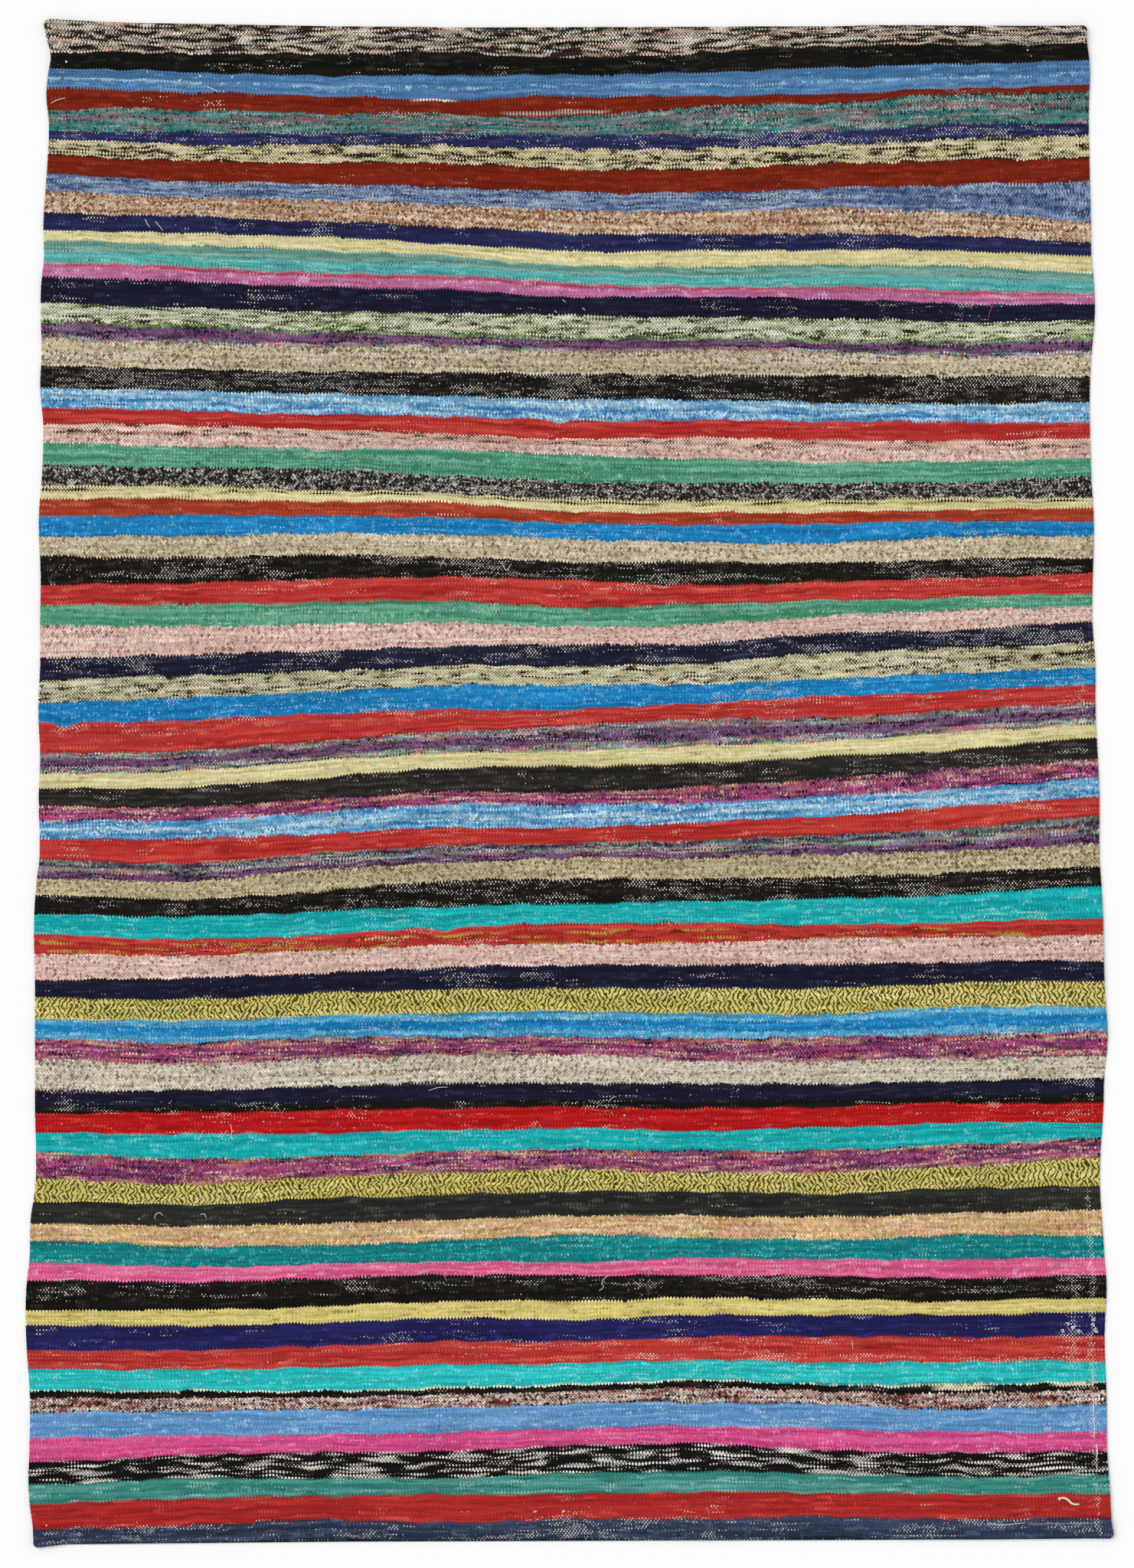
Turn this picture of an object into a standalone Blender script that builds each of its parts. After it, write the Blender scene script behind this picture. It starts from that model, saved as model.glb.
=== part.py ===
"""A flat-woven rag rug lying flat, face up: one cloth, its two ends turned under.

Metres. +X runs across the rug along its wefts, +Y along its warps towards the far end, +Z up.
The origin is on the surface that it lies on, under the middle of its outline.
"""

from collections import namedtuple

import bpy

NAME = "rug"

# Driving dimensions
LENGTH = 2.993  # far end to near end, at the corners that reach furthest
WIDTH = 2.130  # selvedge to selvedge, where the rug is widest
THICKNESS = 0.004  # rag wefts beaten up hard over a cotton warp
EDGE_ROUND = 0.0012  # the selvedges and turned ends are soft, not square
CORNER = 0.006  # the outline turns each corner over about this far
CORNER_LEAD = 0.013  # and runs square into it from here
CURVE_STEPS = 3  # straight runs between two neighbouring points of the outline

# How far the selvedges are drawn in from the full width, going down from the far end
Side = namedtuple("Side", "down left_in right_in")
SIDES = (
    Side(0.030, 0.039, 0.053),
    Side(0.052, 0.045, 0.051),
    Side(0.075, 0.049, 0.048),
    Side(0.105, 0.044, 0.046),
    Side(0.150, 0.040, 0.047),
    Side(0.205, 0.045, 0.048),
    Side(0.300, 0.041, 0.046),
    Side(0.410, 0.034, 0.044),
    Side(0.460, 0.036, 0.043),
    Side(0.520, 0.030, 0.038),
    Side(0.575, 0.029, 0.036),
    Side(0.650, 0.031, 0.042),
    Side(0.725, 0.028, 0.046),
    Side(0.795, 0.034, 0.046),
    Side(0.900, 0.031, 0.043),
    Side(0.980, 0.025, 0.038),
    Side(1.090, 0.029, 0.040),
    Side(1.175, 0.028, 0.041),
    Side(1.265, 0.028, 0.035),
    Side(1.350, 0.024, 0.035),
    Side(1.450, 0.028, 0.030),
    Side(1.520, 0.025, 0.027),
    Side(1.640, 0.027, 0.027),
    Side(1.700, 0.020, 0.023),
    Side(1.765, 0.016, 0.020),
    Side(1.900, 0.018, 0.017),
    Side(2.000, 0.018, 0.011),
    Side(2.060, 0.018, 0.017),
    Side(2.150, 0.018, 0.020),
    Side(2.220, 0.020, 0.025),
    Side(2.290, 0.018, 0.026),
    Side(2.350, 0.009, 0.022),
    Side(2.430, 0.007, 0.017),
    Side(2.480, 0.001, 0.013),
    Side(2.575, 0.000, 0.017),
    Side(2.700, 0.008, 0.013),
    Side(2.800, 0.007, 0.012),
    Side(2.875, 0.005, 0.007),
    Side(2.920, 0.009, 0.005),
    Side(2.948, 0.013, 0.003),
)

# How far the turned ends are drawn in from the full length, going across from the left
End = namedtuple("End", "across far_in near_in")
ENDS = (
    End(-0.950, 0.0035, 0.0090),
    End(-0.850, 0.0085, 0.0090),
    End(-0.750, 0.0120, 0.0110),
    End(-0.650, 0.0155, 0.0115),
    End(-0.500, 0.0165, 0.0175),
    End(-0.350, 0.0145, 0.0150),
    End(-0.200, 0.0175, 0.0150),
    End(-0.050, 0.0200, 0.0165),
    End(0.050, 0.0155, 0.0180),
    End(0.200, 0.0170, 0.0135),
    End(0.350, 0.0140, 0.0150),
    End(0.500, 0.0145, 0.0215),
    End(0.600, 0.0115, 0.0170),
    End(0.750, 0.0125, 0.0150),
    End(0.900, 0.0130, 0.0160),
)

# Where each corner lies, drawn in from the corner of the full width and length
Corner = namedtuple("Corner", "side_in end_in")
FAR_LEFT = Corner(0.036, 0.000)
FAR_RIGHT = Corner(0.052, 0.013)
NEAR_LEFT = Corner(0.015, 0.000)
NEAR_RIGHT = Corner(0.000, 0.018)

# The rug's many stripes, taken together, read as one muted colour
CLOTH_COLOUR = (0.252, 0.171, 0.147, 1.0)
CLOTH_ROUGHNESS = 0.95


def clear_scene():
    for ob in list(bpy.data.objects):
        bpy.data.objects.remove(ob, do_unlink=True)


def turned(corner, right, near):
    """The four outline points about a corner, going from the rug's end round to its side."""
    x = WIDTH / 2 - corner.side_in
    y = LENGTH / 2 - corner.end_in
    across = 1 if right else -1
    along = -1 if near else 1
    on_end = [(across * (x - back), along * y) for back in (CORNER_LEAD, CORNER)]
    on_side = [(across * x, along * (y - back)) for back in (CORNER, CORNER_LEAD)]
    return on_end + on_side


def outline():
    """The rug's outline, clockwise from its far left corner."""
    half_wide = WIDTH / 2
    half_long = LENGTH / 2
    far_end = [(e.across, half_long - e.far_in) for e in ENDS]
    near_end = [(e.across, e.near_in - half_long) for e in reversed(ENDS)]
    right = [(half_wide - s.right_in, half_long - s.down) for s in SIDES]
    left = [(s.left_in - half_wide, half_long - s.down) for s in reversed(SIDES)]
    return (
        turned(FAR_LEFT, right=False, near=False)[::-1]
        + far_end
        + turned(FAR_RIGHT, right=True, near=False)
        + right
        + turned(NEAR_RIGHT, right=True, near=True)[::-1]
        + near_end
        + turned(NEAR_LEFT, right=False, near=True)
        + left
    )


def cloth_material():
    mat = bpy.data.materials.new("rag_weave")
    mat.use_nodes = True
    shader = mat.node_tree.nodes["Principled BSDF"]
    shader.inputs["Base Color"].default_value = CLOTH_COLOUR
    shader.inputs["Roughness"].default_value = CLOTH_ROUGHNESS
    shader.inputs["Metallic"].default_value = 0.0
    mat.diffuse_color = CLOTH_COLOUR
    return mat


def make_rug(collection):
    """The cloth: its outline as a flat curve, given its thickness and a softened rim."""
    curve = bpy.data.curves.new(NAME, "CURVE")
    curve.dimensions = "2D"
    curve.fill_mode = "BOTH"
    curve.resolution_u = CURVE_STEPS
    curve.extrude = THICKNESS / 2 - EDGE_ROUND
    curve.bevel_depth = EDGE_ROUND
    curve.bevel_resolution = 1
    curve.offset = -EDGE_ROUND  # the rounding grows outwards, so it starts this far in

    points = outline()
    spline = curve.splines.new("BEZIER")
    spline.use_cyclic_u = True
    spline.bezier_points.add(len(points) - 1)
    for place, (x, y) in zip(spline.bezier_points, points):
        place.co = (x, y, 0.0)
        place.handle_left_type = "AUTO"
        place.handle_right_type = "AUTO"

    rug = bpy.data.objects.new(NAME, curve)
    rug.location = (0.0, 0.0, THICKNESS / 2)
    rug.data.materials.append(cloth_material())
    collection.objects.link(rug)

    weld = rug.modifiers.new("join_faces_to_rim", "WELD")
    weld.merge_threshold = 0.00005
    return rug


def main():
    clear_scene()
    collection = bpy.data.collections.new("rag_rug")
    bpy.context.scene.collection.children.link(collection)
    make_rug(collection)


main()
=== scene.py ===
"""A flat-woven rag rug, lying face up on a pale studio floor.

Metres. +X runs across the rug along its wefts, +Y along its warps to the far end, +Z up.
"""

from collections import namedtuple

import bpy
import numpy as np
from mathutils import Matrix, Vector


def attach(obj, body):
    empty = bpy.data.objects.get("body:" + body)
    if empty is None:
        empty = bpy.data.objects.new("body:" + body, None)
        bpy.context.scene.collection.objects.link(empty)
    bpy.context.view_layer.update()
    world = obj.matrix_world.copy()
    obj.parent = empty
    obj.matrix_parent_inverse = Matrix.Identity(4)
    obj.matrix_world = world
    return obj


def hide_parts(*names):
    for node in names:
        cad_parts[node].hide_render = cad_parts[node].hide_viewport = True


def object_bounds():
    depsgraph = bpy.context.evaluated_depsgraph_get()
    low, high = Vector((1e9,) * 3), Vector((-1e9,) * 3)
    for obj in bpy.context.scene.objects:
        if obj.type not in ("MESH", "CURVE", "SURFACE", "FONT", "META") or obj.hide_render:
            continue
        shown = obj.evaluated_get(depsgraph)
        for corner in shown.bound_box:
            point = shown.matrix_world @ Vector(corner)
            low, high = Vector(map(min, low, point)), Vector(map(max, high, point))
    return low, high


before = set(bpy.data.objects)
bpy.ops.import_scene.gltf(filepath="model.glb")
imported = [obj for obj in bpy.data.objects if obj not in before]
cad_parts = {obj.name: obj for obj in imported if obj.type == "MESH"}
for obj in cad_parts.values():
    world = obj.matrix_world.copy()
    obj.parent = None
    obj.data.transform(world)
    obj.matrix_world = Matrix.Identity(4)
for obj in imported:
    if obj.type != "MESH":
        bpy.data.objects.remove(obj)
cad_low, cad_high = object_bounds()

# ---------------------------------------------------------------------------------------------
# The rug: one cloth of weft-faced plain weave. Its wefts are strips of worn-out cotton clothes,
# beaten down over a cotton warp so that they hide it. They turn back round the outermost warps at
# its two sides, and its two ends are turned under.
# ---------------------------------------------------------------------------------------------
MM = 0.001
WIDTH = 2.09  # midway between its wide and its narrow places
WARP = 3.2 * MM  # from one warp to the next
PICK = 3.45 * MM  # from one weft to the next, where the cloth is evenly beaten
UNEVEN = 0.8  # of a pick, as some strips are torn wider than others
THICK = 4.0 * MM
HEM = 28 * MM  # turned under at both ends
HEM_RISE = 2.2 * MM  # the hem lifts the end by less than a full layer, being trodden flat
HEM_SLOPE = 12 * MM  # over which the face comes down from the hem
HEM_GAP = 22 * MM  # over which the underside comes down to the floor past the hem
RIM = (0.0, 0.7, 2.2)  # mm in from an edge where the rounded rim has a row of points
SELVEDGE = (5.0, 10.0, 16.0, 23.0, 30.0, 39.0, 50.0, 62.0)  # mm in from a side, for its closer columns
SCALLOP = 0.5 * MM  # how far every second weft stands in at a side
RIDGE = 0.5 * MM  # along a side, where the wefts turn back
RIPPLE = 2.6 * MM  # it has lain on floors for years, and no longer lies dead flat
SLACK = 4.5 * MM  # its sides are stretched, and ripple more
CURL = 2.2 * MM  # how far the corners lift
TOP_COLUMNS = 78  # between the selvedges
UNDER_COLUMNS = 10

# The rag yarns: plain dyed, two colours twisted together, or a print that changes as the strip
# runs along. dyes follow each other in lengths of about run mm. fleck holds the second colours of
# a twist, which come up at this share of places: in streaks where grain is 0, knuckle by knuckle
# where it is 1. bare is how worn the yarn is, until the warps peep out, and the last number how
# open its weave lies, which sets how deep the painted shade in its valleys and the painted shadow
# dots at its joints are.
Yarn = namedtuple("Yarn", "dyes fleck share run grain bare loose")


def yarn(dyes, fleck=None, share=0.0, run=400, grain=0.2, bare=0.04, loose=0.12):
    return Yarn(dyes.split(), (fleck or dyes).split(), share, run, grain, bare, loose)


YARNS = {
    # plain dyed rag
    "black": yarn("100e0c 16130f 0b0a08", "2e2b27", 0.06, 200, 0.2, bare=0.19),
    "black_thin": yarn("100e0b 191613", "38342e", 0.06, 200, 0.3, bare=0.48),
    "black_worn": yarn("12100d 1b1815", "4a463e", 0.1, 200, 0.3, bare=0.62),
    "soot": yarn("24221f 2c2925 1d1b18", "46423c", 0.14, bare=0.16),
    "charcoal": yarn("272825 2e2f2c 222321", "4a4b45", 0.06, 200, 0.2, bare=0.12),
    "navy": yarn("20224a 1b1c3c 272b53", "343a66", 0.08, 200, 0.2, bare=0.27),
    "navy_thin": yarn("242852 1e2244 2c2e58", "3a3f78", 0.2, bare=0.6),
    "ink": yarn("15152b 1a1a31 121225", "2c2c46", 0.06, 200, 0.2, bare=0.17),
    "ink_thin": yarn("16172a 1c1d32", "3a3c54", 0.10, bare=0.42),
    "indigo": yarn("1f1f52 1b1a48 24235a", "302e78", 0.06, 200, 0.2, bare=0.22),
    "slate": yarn("2c364d 263042 343e56", "4c5770", 0.1, bare=0.32),
    "denim": yarn("4a7aaa 44749e 5882b0 3f6c94", "6f9cc6 35608e", 0.14, 300, 0.2, bare=0.05, loose=0.3),
    "pale_line": yarn("5080ae 7ca6c8 4c7ca8 5888b4", "98b8d4", 0.22, 70, 0.3, bare=0.0, loose=0.4),
    "cornflower": yarn("5b8fc4 669acb 5488ba 72a4d3", "8fb6dc", 0.06, 200, 0.3, bare=0.08, loose=0.15),
    "royal": yarn("147bb7 2187c3 106fa9 1c81be", "58a4d8", 0.06, 200, 0.4, bare=0.16, loose=0.2),
    "azure": yarn("449cc4 56a5cc 3a8fba", "7cbcda 2c76a6", 0.26, 160, 0.5, bare=0.3, loose=0.3),
    "sky": yarn("90b8cf 7aaac6 a6cadb 6a9abe", "c0dae8 4484b0", 0.36, 60, 0.6, bare=0.12, loose=0.25),
    "sky_deep": yarn("4c92c4 68a6cc 3c7eb4 84b8d6", "b0d2e6 2468a2", 0.36, 60, 0.6, bare=0.1, loose=0.25),
    "oxblood": yarn("74200e 7c230f 6b1b0a", "8c3620", 0.05, 200, 0.2, bare=0.06, loose=0.15),
    "red": yarn("b42e2a bc3733 a62621 c54139", "cc564a 8c1c18", 0.12, 160, 0.1, bare=0.13, loose=0.15),
    "red_thin": yarn("b93430 c2413a ae2d28", "cc5a4a", 0.14, 160, 0.1, bare=0.27, loose=0.2),
    "madder": yarn("ac2826 b42e2c a02320", "c44840 80201c", 0.1, 160, 0.1, bare=0.03, loose=0.2),
    "scarlet": yarn("b01216 b81b1c a50e12", "cc3c34", 0.05, 200, 0.2, bare=0.1, loose=0.15),
    "rust": yarn("9c3722 a7412a 902f1c", "b9583c", 0.12, 200, 0.2, bare=0.02),
    "green": yarn("4c9577 5ca182 418a6a 6eaa90", "80b49c 2f6e52", 0.1, 200, 0.4, bare=0.15, loose=0.3),
    "sage": yarn("6e9e92 7ea8a0 618f82", "94bcb0 4a7c6c", 0.16, grain=0.2, loose=0.3),
    "aqua": yarn("55acaa 62b2af 49a09e", "84c8c0", 0.12, bare=0.06, loose=0.35),
    "bottle": yarn("37847c 458f85 2e7c72 5a9c92", "82b6aa 1f5f58", 0.1, 200, 0.15, bare=0.03, loose=0.12),
    "turquoise": yarn("12a8ac 20b3b5 0c9b9f", "62c4c2", 0.05, 200, 0.3, bare=0.1, loose=0.2),
    "turquoise_top": yarn("24bbbb 32c4c4 1eadb0", "74d2d0", 0.03, 200, 0.3, bare=0.05, loose=0.12),
    "teal": yarn("0f7d81 0e898a 107378", "4ea8a8", 0.04, 200, 0.4, bare=0.2, loose=0.2),
    "rose": yarn("b8526c b84a5c c4647c", "d488a0", 0.1, 200, 0.2, bare=0.08, loose=0.3),
    "mauve": yarn("b4648e a5567e bd7098", "d29cc0", 0.1, 200, 0.25, bare=0.05, loose=0.25),
    "pink": yarn("da5c8c e0709c d0507f", "e58fb4", 0.05, 200, 0.3, bare=0.04, loose=0.2),
    "fuchsia": yarn("d14a82 da5a90 c33f7a", "de76a8", 0.05, 200, 0.3, bare=0.06, loose=0.2),
    "butter": yarn("dbd09d e3d8a7 d1c78d", "bfb27a 9c8c54", 0.06, grain=0.3, bare=0.0, loose=0.08),
    "butter_row": yarn("dfd29a d8cb92", "1c1e0a", 0.66, 60, 0.15, bare=0.0, loose=0.5),
    "lemon": yarn("d8c878 dfd286 cdbc6c", "b4a450 8c7434", 0.06, grain=0.3, bare=0.0, loose=0.06),
    # two or three colours twisted together, or spun from mixed scraps
    "ecru": yarn("ded4c5 c9bba8 d9b19b b3a28a d2c4b0 9c8976", "1a1512 2c211a", 0.62, 60, 0.25, loose=0.3),
    "inky": yarn("e4dccf d6c8b4", "14110e 1a1713", 0.88, 160, 0.2, bare=0.1, loose=0.4),
    "straw": yarn("d4ca9e deceae cac292", "1c1912 28241c", 0.52, 90, 0.3, loose=0.4),
    "lichen": yarn("dadbc0 ccccac e0e0ca c2c69e", "1e220e 4a5a2c", 0.46, 60, 0.3, loose=0.5),
    "stone": yarn("cfc3a9 c6b99a d6cbb5 c2b496", "746042 64503a", 0.34, 150, 0.7, loose=0.2),
    "putty": yarn("d0c1a6 c7b698 dacdb2", "786546", 0.29, 150, 0.7, loose=0.15),
    "peach": yarn("d1bba1 c5a68a ddc8af b89172 d9c9af", "6a3c22 8a5a3c", 0.42, 60, 0.7, loose=0.2),
    "flesh": yarn("e0bfb2 d7b6a8 e5cbc0", "9c685e 84544a", 0.2, 150, 0.7, loose=0.15),
    "umber": yarn("e0bba9 d2a694 e5c9b9", "2c180e 4a3022", 0.27, 110, 0.25, loose=0.4),
    "grey": yarn("b4b0a4 98948a c6c2b6", "1f1e1c 1a1918", 0.84, 90, 0.55, bare=0.26, loose=0.3),
    "moss": yarn("d8ceaa c6bc96 e2d9bc b9bb94", "1c190f 36311d", 0.42, 80, 0.3, loose=0.5),
    "olive": yarn("c6b892 bcae88 cebd9c", "746443 5e5038", 0.31, 130, 0.7, loose=0.15),
    "oat": yarn("d7cdb7 d1c7af ddd3c4", "706856 746850", 0.28, 130, 0.7, loose=0.15),
    "apricot": yarn("e4c08c deb088 e8d0ac d2b47e d8a08c", "9c744a a89858 d0ae80", 0.44, 50, 0.85,
                    loose=0.3),
    "cocoa": yarn("e1d2c6 d3aea2 8b3e3c be988e ddd1c6", "17100e 2a1512", 0.52, 24, 0.85, loose=0.45),
    "marl": yarn("d6c972 dfd386 cdc068", "443e0e 544c12", 0.5, 300, 0.0, bare=0.0, loose=0.02),
    # printed cloth, which changes along the strip
    "sea": yarn("348880 567e78 71908e 3d706c 2e847e 8c7478", "1b383c 202e32 8c9a98 1a2e32", 0.44, 40,
                0.6, 0.3, 0.45),
    "sea_red": yarn("8c6066 567a75 4a8882 749090 7a7070", "1b383c 202e32 a4727c 1a2e32", 0.44, 40,
                    0.6, 0.3, 0.45),
    "faded_blue": yarn("768cae 647aa0 869ab8 586f94", "2a406c 98a8bc 283858", 0.42, 60, 0.45, 0.33, 0.5),
    "plum": yarn("7c4c78 463048 7c5278 543856 866a88 7e487a", "180e1c 64506a 1c1220", 0.44, 40, 0.6, 0.2,
                 0.4),
    "plum_mix": yarn("7c707e 525464 887e9e 927e74 ac786e 728090", "b8b8c0 181420 84ae7c c07078 181818",
                     0.44, 36, 0.6, 0.3, 0.5),
    "herb": yarn("729458 526e48 96ae78 44503e 78587f", "202818 9cb080", 0.4, 36, 0.6, 0.14, 0.4),
    "pewter": yarn("524658 6c6d73 3e344a 7a7c7c 466452 54345a", "1c1822 9a9c9c 24202c", 0.42, 40, 0.6, 0.24,
                   0.4),
    "berry": yarn("98407c a84880 743464 b04c78 643858", "d8a898 1c081c c05080 200a1c", 0.42, 40, 0.75,
                  0.18, 0.55),
    "berry_mix": yarn("90407a a0607a 9e4460 643458 a8787f 963f7a", "ccac8c 1c081c cc7864 1a0816", 0.45, 34,
                      0.75, 0.18, 0.55),
    "tomato": yarn("b2322b ba3a30 a62a23 ba3a30 b4352c ae312a b8903c", "701c18", 0.18, 60, 0.3, 0.15, 0.3),
    "dashes": yarn("e6e2da dad4c8 c4c0b8", "0e0c0a 131110", 0.9, 120, 0.08, 0.04, 0.25),
    "cream_row": yarn("e0d8b8 d8cfa8 e6e0c8", "17130f", 0.3, 80, 0.4, 0.0, 0.5),
}

# Each stripe's wefts from its upper to its lower border, shared out evenly or by the number after
# the colon, and how many mm that lower border lies from the rug's far end, at these places across
# from the left.
ACROSS = range(-1000, 1001, 250)
Stripe = namedtuple("Stripe", "wefts border")
STRIPES = (
    Stripe("ecru ecru inky ecru inky inky ecru inky ecru ecru", (63, 66, 67, 64, 75, 66, 52, 49, 50)),
    Stripe("black", (95, 103, 110, 109, 108, 104, 94, 87, 82)),
    Stripe("denim:6 pale_line denim:5", (134, 141, 149, 156, 150, 150, 146, 136, 131)),
    Stripe("oxblood", (179, 177, 183, 186, 191, 169, 163, 145, 142)),
    Stripe("sea sea_red sea sea", (220, 220, 222, 223, 226, 227, 218, 206, 201)),
    Stripe("navy_thin", (232, 245, 245, 245, 252, 251, 245, 233, 225)),
    Stripe("straw", (268, 277, 281, 281, 293, 294, 283, 277, 271)),
    Stripe("oxblood", (303, 317, 322, 328, 337, 339, 330, 323, 317)),
    Stripe("faded_blue", (336, 348, 353, 362, 373, 376, 368, 376, 393)),
    Stripe("peach", (380, 385, 396, 404, 418, 420, 420, 424, 436)),
    Stripe("navy", (413, 419, 425, 439, 453, 452, 451, 452, 462)),
    Stripe("butter", (433, 441, 451, 462, 481, 484, 480, 482, 495)),
    Stripe("sage aqua", (476, 483, 496, 500, 515, 524, 522, 529, 537)),
    Stripe("rose mauve mauve", (502, 512, 522, 528, 543, 542, 547, 556, 559)),
    Stripe("ink", (555, 565, 572, 574, 578, 583, 584, 592, 591)),
    Stripe("lichen", (590, 595, 608, 613, 621, 623, 628, 628, 623)),
    Stripe("herb plum plum plum_mix", (625, 635, 640, 641, 651, 647, 651, 660, 656)),
    Stripe("stone", (679, 685, 690, 691, 694, 696, 696, 698, 697)),
    Stripe("black_worn", (722, 726, 732, 737, 742, 744, 750, 753, 749)),
    Stripe("sky sky_deep", (759, 767, 773, 776, 785, 785, 786, 788, 789)),
    Stripe("red", (791, 794, 803, 811, 821, 818, 823, 825, 820)),
    Stripe("umber:5 flesh:5", (830, 836, 841, 841, 852, 860, 867, 865, 861)),
    Stripe("green", (872, 877, 878, 892, 905, 907, 907, 906, 894)),
    Stripe("grey", (912, 914, 922, 928, 939, 942, 941, 937, 937)),
    Stripe("butter:2 butter_row butter:2 butter_row butter:2",
           (938, 938, 944, 944, 963, 965, 965, 960, 956)),
    Stripe("rust", (972, 970, 972, 975, 986, 989, 987, 982, 984)),
    Stripe("royal", (1012, 1011, 1006, 1007, 1016, 1024, 1025, 1012, 1012)),
    Stripe("putty", (1051, 1053, 1048, 1053, 1062, 1062, 1064, 1057, 1053)),
    Stripe("black_thin", (1107, 1103, 1096, 1092, 1097, 1108, 1101, 1094, 1087)),
    Stripe("red_thin red red", (1145, 1144, 1141, 1137, 1151, 1144, 1138, 1132, 1122)),
    Stripe("green", (1186, 1188, 1184, 1180, 1189, 1184, 1168, 1156, 1150)),
    Stripe("flesh", (1251, 1243, 1237, 1228, 1223, 1222, 1202, 1196, 1178)),
    Stripe("ink_thin", (1291, 1284, 1276, 1266, 1266, 1261, 1240, 1231, 1221)),
    Stripe("moss", (1336, 1328, 1317, 1304, 1303, 1302, 1291, 1280, 1271)),
    Stripe("royal", (1376, 1371, 1359, 1351, 1351, 1339, 1326, 1315, 1303)),
    Stripe("red_thin red", (1436, 1432, 1413, 1395, 1382, 1369, 1366, 1353, 1337)),
    Stripe("plum_mix plum plum_mix", (1478, 1471, 1452, 1437, 1433, 1423, 1414, 1397, 1381)),
    Stripe("butter", (1507, 1503, 1485, 1466, 1461, 1456, 1442, 1431, 1406)),
    Stripe("soot", (1541, 1542, 1527, 1513, 1513, 1501, 1486, 1466, 1451)),
    Stripe("berry_mix berry", (1568, 1568, 1553, 1536, 1537, 1533, 1521, 1507, 1486)),
    Stripe("sky_deep sky sky_deep", (1604, 1604, 1595, 1583, 1583, 1572, 1561, 1541, 1522)),
    Stripe("red", (1645, 1653, 1633, 1618, 1613, 1607, 1596, 1584, 1559)),
    Stripe("pewter plum_mix plum", (1682, 1687, 1665, 1653, 1642, 1642, 1634, 1629, 1616)),
    Stripe("olive", (1715, 1723, 1708, 1687, 1683, 1683, 1679, 1671, 1659)),
    Stripe("black_thin", (1752, 1757, 1747, 1737, 1732, 1727, 1721, 1713, 1696)),
    Stripe("turquoise", (1792, 1801, 1793, 1778, 1769, 1769, 1773, 1768, 1761)),
    Stripe("red tomato tomato", (1828, 1833, 1823, 1813, 1811, 1808, 1799, 1797, 1793)),
    Stripe("flesh", (1881, 1877, 1868, 1856, 1852, 1851, 1849, 1846, 1841)),
    Stripe("ink", (1916, 1919, 1907, 1900, 1897, 1897, 1897, 1887, 1881)),
    Stripe("marl", (1958, 1960, 1952, 1946, 1942, 1946, 1947, 1933, 1931)),
    Stripe("azure royal azure", (1996, 2003, 1993, 1992, 1992, 1994, 1992, 1987, 1981)),
    Stripe("berry_mix berry berry_mix", (2036, 2046, 2035, 2028, 2027, 2039, 2039, 2034, 2032)),
    Stripe("oat", (2098, 2097, 2090, 2082, 2083, 2084, 2084, 2079, 2073)),
    Stripe("ink ink black", (2141, 2140, 2136, 2132, 2129, 2132, 2129, 2122, 2122)),
    Stripe("scarlet", (2180, 2182, 2181, 2175, 2171, 2176, 2169, 2161, 2159)),
    Stripe("turquoise", (2219, 2230, 2226, 2216, 2212, 2213, 2213, 2203, 2191)),
    Stripe("berry_mix berry berry_mix", (2273, 2281, 2268, 2259, 2252, 2259, 2257, 2247, 2231)),
    Stripe("marl", (2312, 2321, 2308, 2302, 2295, 2295, 2299, 2289, 2284)),
    Stripe("charcoal", (2359, 2362, 2357, 2350, 2342, 2342, 2344, 2337, 2331)),
    Stripe("apricot", (2393, 2402, 2401, 2392, 2380, 2385, 2391, 2381, 2381)),
    Stripe("teal", (2434, 2443, 2438, 2432, 2434, 2425, 2428, 2427, 2425)),
    Stripe("pink", (2467, 2472, 2465, 2458, 2459, 2459, 2461, 2465, 2460)),
    Stripe("black_thin black_thin black", (2527, 2527, 2521, 2510, 2509, 2503, 2506, 2510, 2503)),
    Stripe("lemon", (2557, 2557, 2553, 2542, 2546, 2537, 2537, 2536, 2532)),
    Stripe("indigo", (2607, 2606, 2598, 2589, 2589, 2580, 2579, 2580, 2579)),
    Stripe("red_thin red red_thin", (2642, 2644, 2640, 2634, 2632, 2625, 2629, 2628, 2626)),
    Stripe("turquoise_top", (2685, 2684, 2685, 2678, 2672, 2663, 2672, 2671, 2667)),
    Stripe("cream_row black:3 cocoa:8", (2727, 2726, 2722, 2719, 2711, 2708, 2713, 2722, 2713)),
    Stripe("cornflower", (2776, 2773, 2771, 2767, 2759, 2754, 2759, 2766, 2766)),
    Stripe("fuchsia", (2825, 2811, 2806, 2803, 2792, 2788, 2801, 2806, 2802)),
    Stripe("dashes", (2868, 2857, 2857, 2857, 2847, 2843, 2848, 2855, 2851)),
    Stripe("bottle", (2905, 2896, 2892, 2888, 2887, 2883, 2885, 2887, 2887)),
    Stripe("madder", (2955, 2949, 2937, 2943, 2936, 2936, 2931, 2936, 2932)),
    Stripe("slate", (2989, 2984, 2976, 2978, 2977, 2980, 2973, 2979, 2978)),
)


def linear(hex_colour):
    """An sRGB hex colour as the linear numbers that a shader wants."""
    part = np.array([int(hex_colour[i : i + 2], 16) / 255 for i in (0, 2, 4)])
    return np.where(part <= 0.04045, part / 12.92, ((part + 0.055) / 1.055) ** 2.4)


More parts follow.
